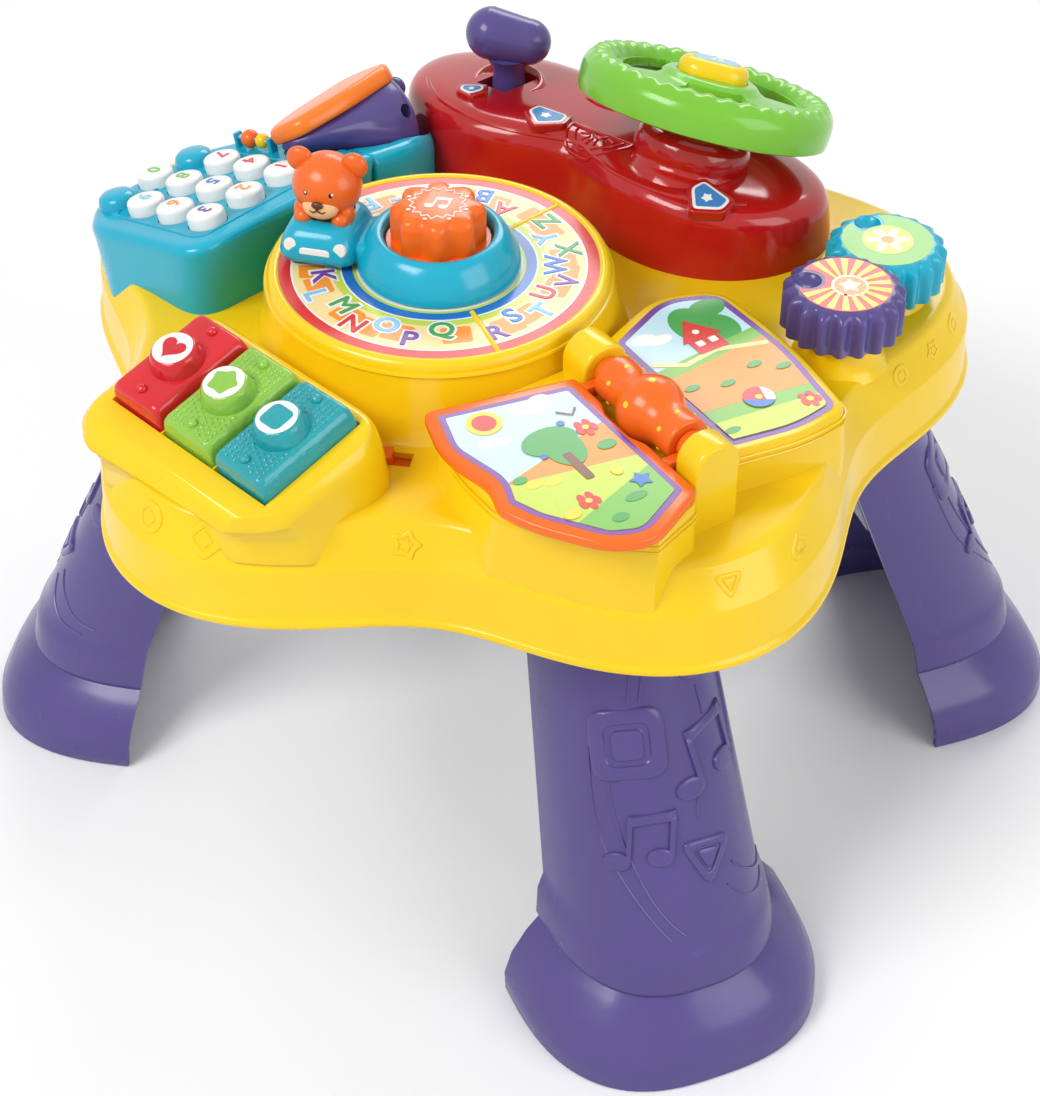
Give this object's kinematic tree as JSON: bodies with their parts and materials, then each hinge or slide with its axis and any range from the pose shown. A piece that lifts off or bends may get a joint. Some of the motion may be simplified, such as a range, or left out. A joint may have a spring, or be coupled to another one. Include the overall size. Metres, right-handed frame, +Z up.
{
  "type": "musical activity table",
  "caption": "Toddler play table: lobed top on splayed legs with a turning letter dial, play phone, piano keys, flip page, meshing gears, and a dashboard with steering wheel and shift lever.",
  "frame": {"origin": "middle of the bounding box at the feet's undersides, on the floor", "axes": "+Z up; -Y towards the picture's viewer, on the side of the book and the front leg; +X to the viewer's right"},
  "size_m": [0.4534, 0.4308, 0.293],
  "materials": {
    "badge_blue": "gloss",
    "bear_orange": "satin",
    "black": "satin",
    "board": "satin",
    "cell_black": "satin",
    "clear_green": "gloss",
    "clear_red": "gloss",
    "clear_teal": "gloss",
    "green": "gloss",
    "off_white": "satin",
    "orange": "gloss",
    "printed": "gloss",
    "purple": "gloss",
    "red": "gloss",
    "rubber_grey": "matte",
    "steel": "satin",
    "teal": "gloss",
    "white": "gloss",
    "yellow": "gloss"
  },
  "bodies": {
    "root": {"table_top": "yellow", "bottom_cover": "off_white", "leg_front": "purple", "leg_right": "purple", "leg_back": "purple", "leg_left": "purple", "leg_screws": "steel", "case_screws": "steel", "battery_door": "off_white", "battery_cells": "cell_black", "battery_contacts": "steel", "main_board": "board", "inner_screws": "steel", "speaker": "black", "letter_plate": "printed", "phone_base": "teal", "phone_cradle": "teal", "phone_dome_mat": "rubber_grey", "bead_rail": "steel", "key_rod": "steel", "key_board": "board", "spine_pin": "steel", "dash_housing": "red", "shift_pin": "steel", "dash_badges": "badge_blue"},
    "power_switch": {"power_switch": "orange"},
    "hub": {"dial_hub": "teal", "hub_retainer": "off_white", "bear_car": "teal", "bear_figure": "bear_orange", "music_spring": "steel"},
    "music_button": {"music_button": "orange"},
    "phone_button_1": {"phone_button_1": "white"},
    "phone_button_2": {"phone_button_2": "white"},
    "phone_button_3": {"phone_button_3": "white"},
    "phone_button_4": {"phone_button_4": "white"},
    "phone_button_5": {"phone_button_5": "white"},
    "phone_button_6": {"phone_button_6": "white"},
    "phone_button_7": {"phone_button_7": "white"},
    "phone_button_8": {"phone_button_8": "white"},
    "phone_button_9": {"phone_button_9": "white"},
    "phone_button_0": {"phone_button_0": "white"},
    "handset": {"handset_body": "purple", "handset_face": "orange", "handset_pin": "steel"},
    "bead_orange": {"bead_orange": "orange"},
    "bead_yellow": {"bead_yellow": "yellow"},
    "key_red": {"key_red": "clear_red"},
    "key_green": {"key_green": "clear_green"},
    "key_teal": {"key_teal": "clear_teal"},
    "flip_page": {"flip_page": "orange"},
    "spine_roller": {"spine_roller": "orange"},
    "gear_purple": {"gear_purple": "purple"},
    "gear_teal": {"gear_teal": "teal"},
    "wheel": {"steering_wheel": "green", "steering_shaft": "white", "horn_spring": "steel"},
    "horn_button": {"horn_button": "yellow"},
    "shift_lever": {"shift_lever": "purple"}
  },
  "joints": [
    {"name": "dial_turn", "type": "hinge", "parent": "root", "child": "hub", "pos_m": [-0.03011, -0.04258, 0.2483], "axis": [0, 0, 1], "continuous": true},
    {"name": "music_press", "type": "slide", "parent": "hub", "child": "music_button", "axis": [0, 0, 1], "range_m": [-0.003, 0], "stiffness_N_per_m": 400, "springref_m": 0.0025, "deforming": ["music_spring"]},
    {"name": "phone_press_1", "type": "slide", "parent": "root", "child": "phone_button_1", "axis": [-0.1839, 0.1571, 0.9703], "range_m": [-0.0016, 0], "stiffness_N_per_m": 300, "springref_m": 0.001},
    {"name": "phone_press_2", "type": "slide", "parent": "root", "child": "phone_button_2", "axis": [-0.1839, 0.1571, 0.9703], "range_m": [-0.0016, 0], "stiffness_N_per_m": 300, "springref_m": 0.001},
    {"name": "phone_press_3", "type": "slide", "parent": "root", "child": "phone_button_3", "axis": [-0.1839, 0.1571, 0.9703], "range_m": [-0.0016, 0], "stiffness_N_per_m": 300, "springref_m": 0.001},
    {"name": "phone_press_4", "type": "slide", "parent": "root", "child": "phone_button_4", "axis": [-0.1839, 0.1571, 0.9703], "range_m": [-0.0016, 0], "stiffness_N_per_m": 300, "springref_m": 0.001},
    {"name": "phone_press_5", "type": "slide", "parent": "root", "child": "phone_button_5", "axis": [-0.1839, 0.1571, 0.9703], "range_m": [-0.0016, 0], "stiffness_N_per_m": 300, "springref_m": 0.001},
    {"name": "phone_press_6", "type": "slide", "parent": "root", "child": "phone_button_6", "axis": [-0.1839, 0.1571, 0.9703], "range_m": [-0.0016, 0], "stiffness_N_per_m": 300, "springref_m": 0.001},
    {"name": "phone_press_7", "type": "slide", "parent": "root", "child": "phone_button_7", "axis": [-0.1839, 0.1571, 0.9703], "range_m": [-0.0016, 0], "stiffness_N_per_m": 300, "springref_m": 0.001},
    {"name": "phone_press_8", "type": "slide", "parent": "root", "child": "phone_button_8", "axis": [-0.1839, 0.1571, 0.9703], "range_m": [-0.0016, 0], "stiffness_N_per_m": 300, "springref_m": 0.001},
    {"name": "phone_press_9", "type": "slide", "parent": "root", "child": "phone_button_9", "axis": [-0.1839, 0.1571, 0.9703], "range_m": [-0.0016, 0], "stiffness_N_per_m": 300, "springref_m": 0.001},
    {"name": "phone_press_0", "type": "slide", "parent": "root", "child": "phone_button_0", "axis": [-0.1839, 0.1571, 0.9703], "range_m": [-0.0016, 0], "stiffness_N_per_m": 300, "springref_m": 0.001},
    {"name": "handset_tilt", "type": "hinge", "parent": "root", "child": "handset", "pos_m": [-0.05735, 0.06507, 0.242], "axis": [-0.6304, 0.5384, -0.5592], "range_deg": [0, 28]},
    {"name": "bead_orange_slide", "type": "slide", "parent": "root", "child": "bead_orange", "axis": [-0.7378, 0.6302, -0.2419], "range_m": [-0.0001, 0.0022]},
    {"name": "bead_yellow_slide", "type": "slide", "parent": "root", "child": "bead_yellow", "axis": [-0.7378, 0.6302, -0.2419], "range_m": [-0.001, 0.0002]},
    {"name": "key_red_press", "type": "hinge", "parent": "root", "child": "key_red", "pos_m": [-0.0824, -0.0999, 0.23448], "axis": [-0.7071, 0.7071, 0], "range_deg": [-3.15, 0], "stiffness_Nm_per_rad": 0.1, "springref_deg": 4.58},
    {"name": "key_green_press", "type": "hinge", "parent": "root", "child": "key_green", "pos_m": [-0.0824, -0.0999, 0.23448], "axis": [-0.7071, 0.7071, 0], "range_deg": [-3.15, 0], "stiffness_Nm_per_rad": 0.1, "springref_deg": 4.58},
    {"name": "key_teal_press", "type": "hinge", "parent": "root", "child": "key_teal", "pos_m": [-0.0824, -0.0999, 0.23448], "axis": [-0.7071, 0.7071, 0], "range_deg": [-3.15, 0], "stiffness_Nm_per_rad": 0.1, "springref_deg": 4.58},
    {"name": "page_turn", "type": "hinge", "parent": "root", "child": "flip_page", "pos_m": [0.04359, -0.1241, 0.243], "axis": [-0.5358, 0.8443, 0], "range_deg": [0, 178]},
    {"name": "spine_roll", "type": "hinge", "parent": "root", "child": "spine_roller", "pos_m": [0.04359, -0.1241, 0.243], "axis": [-0.5358, 0.8443, 0], "continuous": true},
    {"name": "gear_purple_spin", "type": "hinge", "parent": "root", "child": "gear_purple", "pos_m": [0.11193, -0.05656, 0.235], "axis": [0, 0, 1], "continuous": true},
    {"name": "gear_teal_spin", "type": "hinge", "parent": "root", "child": "gear_teal", "pos_m": [0.13193, -0.01857, 0.235], "axis": [0, 0, 1], "continuous": true},
    {"name": "wheel_turn", "type": "hinge", "parent": "root", "child": "wheel", "pos_m": [0.06993, 0.03943, 0.276], "axis": [0.2406, 0.3079, 0.9205], "range_deg": [-120, 120]},
    {"name": "horn_press", "type": "slide", "parent": "wheel", "child": "horn_button", "axis": [0.2406, 0.3079, 0.9205], "range_m": [-0.0025, 0], "stiffness_N_per_m": 300, "springref_m": 0.002, "deforming": ["horn_spring"]},
    {"name": "lever_swing", "type": "hinge", "parent": "root", "child": "shift_lever", "pos_m": [-0.00612, 0.09077, 0.231], "axis": [0.7923, -0.6101, 0], "range_deg": [-12, 12]},
    {"name": "switch_slide", "type": "slide", "parent": "root", "child": "power_switch", "axis": [0.9848, -0.1736, 0], "range_m": [0, 0.006]}
  ],
  "couplings": [
    {"joint": "gear_teal_spin", "follows": "gear_purple_spin", "ratio": -1}
  ]
}
